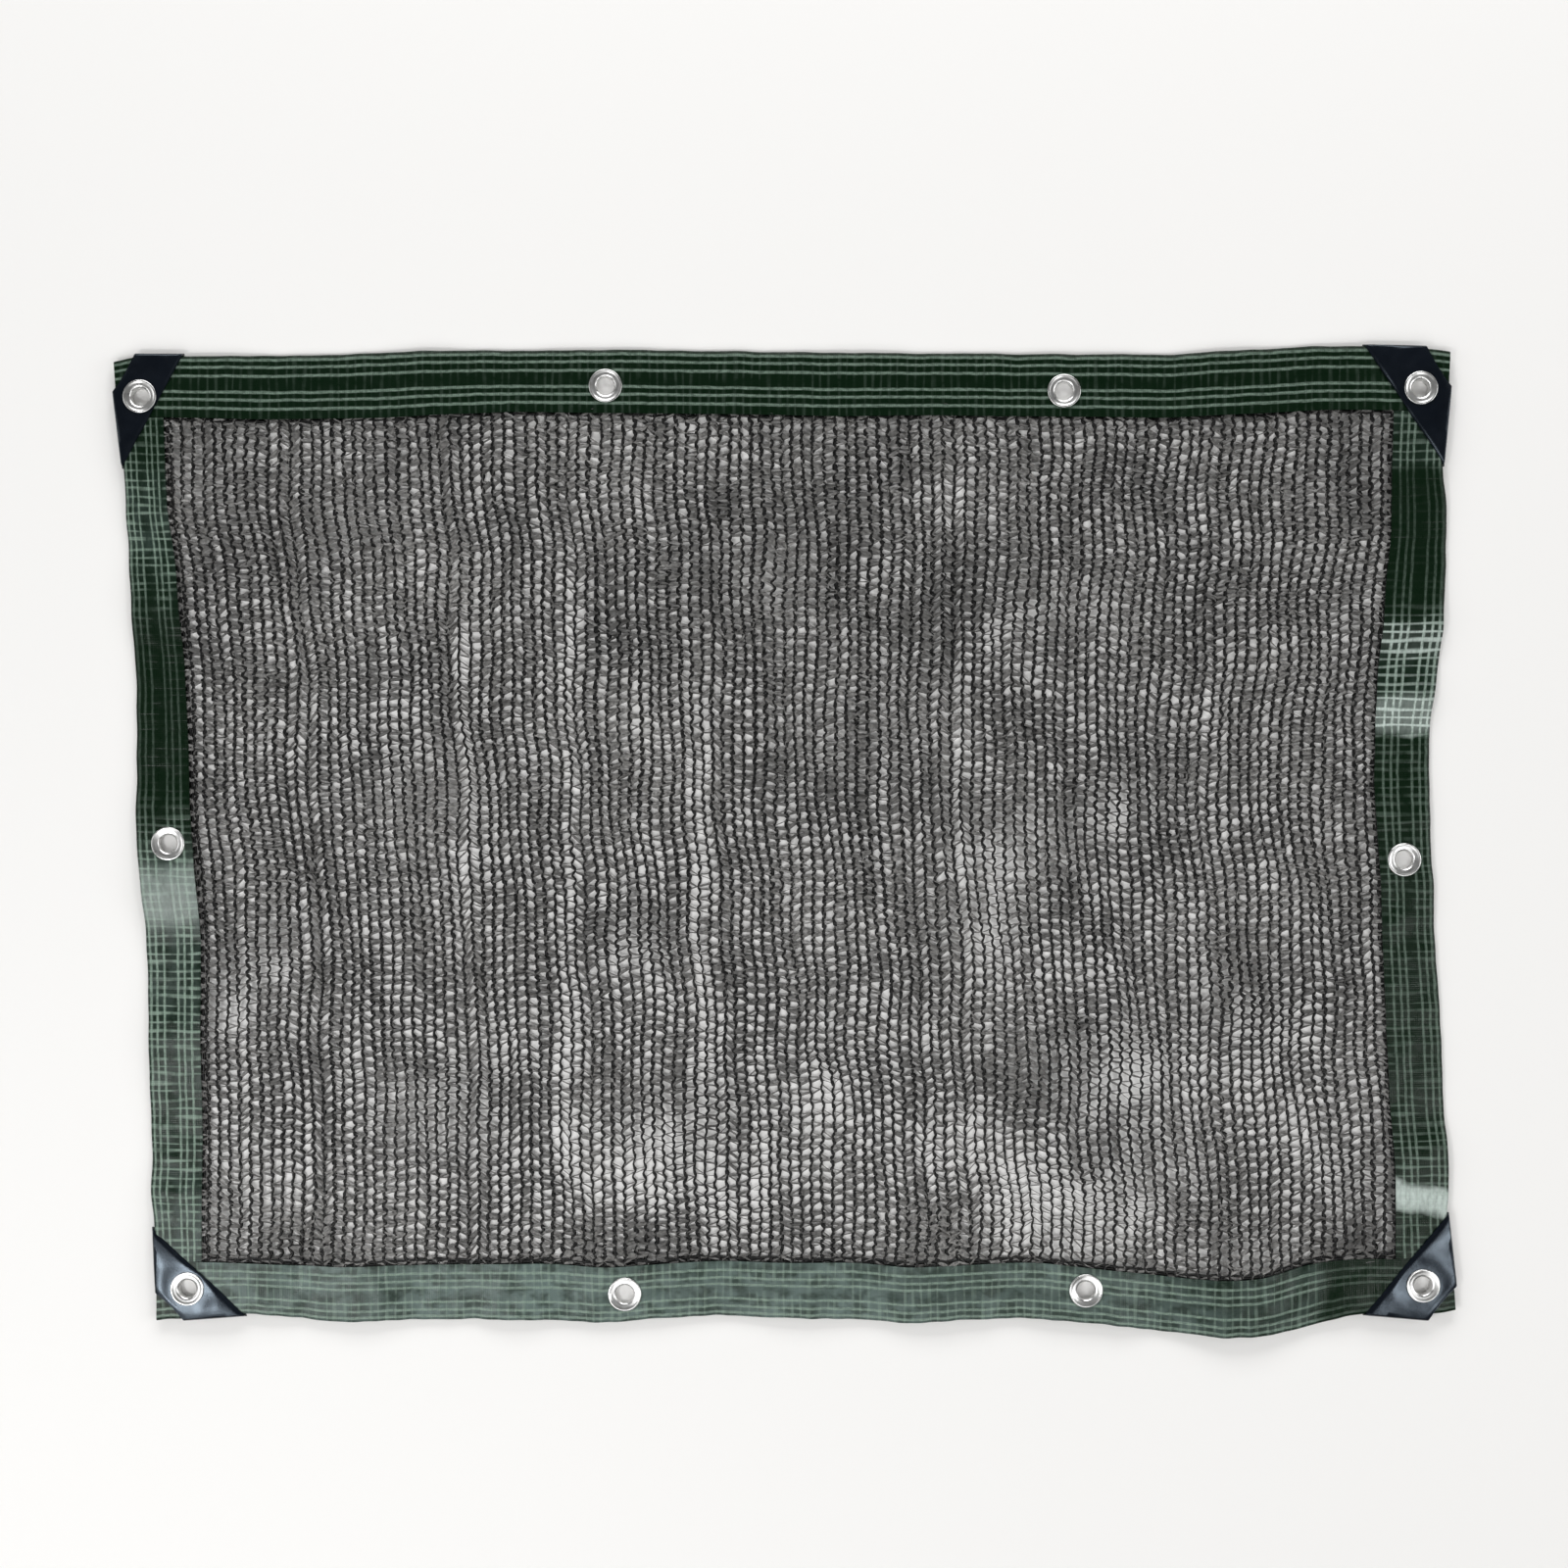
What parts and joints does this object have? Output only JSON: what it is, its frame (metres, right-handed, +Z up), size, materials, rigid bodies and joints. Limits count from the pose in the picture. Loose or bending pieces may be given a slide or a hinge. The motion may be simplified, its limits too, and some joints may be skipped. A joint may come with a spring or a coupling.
{
  "type": "garden shade cloth",
  "caption": "Rectangular knitted shade net with a folded tape border, corner patches and metal eyelets, lying flat with soft waves.",
  "frame": {"origin": "on the surface the cloth lies on, under the middle of its bounding box", "axes": "+X along the long side, to the picture's right; +Y along the short side, to the picture's top edge; +Z up, off the surface, out of the face that the picture shows"},
  "size_m": [0.9982, 0.7376, 0.0095],
  "materials": {
    "knit": "black warp-knitted plastic tape yarn, open, slightly glossy",
    "tape": "dark green woven plastic tape with light lines, satin",
    "patch": "smooth black plastic, soft gloss",
    "eyelet": "bright nickel plate"
  },
  "bodies": {
    "root": {"knit_panel": "knit", "tape_top": "tape", "tape_bottom": "tape", "tape_left": "tape", "tape_right": "tape", "patch_top_left": "patch", "patch_top_right": "patch", "patch_bottom_left": "patch", "patch_bottom_right": "patch", "eyelet_top_1": "eyelet", "eyelet_top_2": "eyelet", "eyelet_bottom_1": "eyelet", "eyelet_bottom_2": "eyelet", "eyelet_left": "eyelet", "eyelet_right": "eyelet", "eyelet_top_left": "eyelet", "eyelet_top_right": "eyelet", "eyelet_bottom_left": "eyelet", "eyelet_bottom_right": "eyelet"}
  },
  "joints": []
}
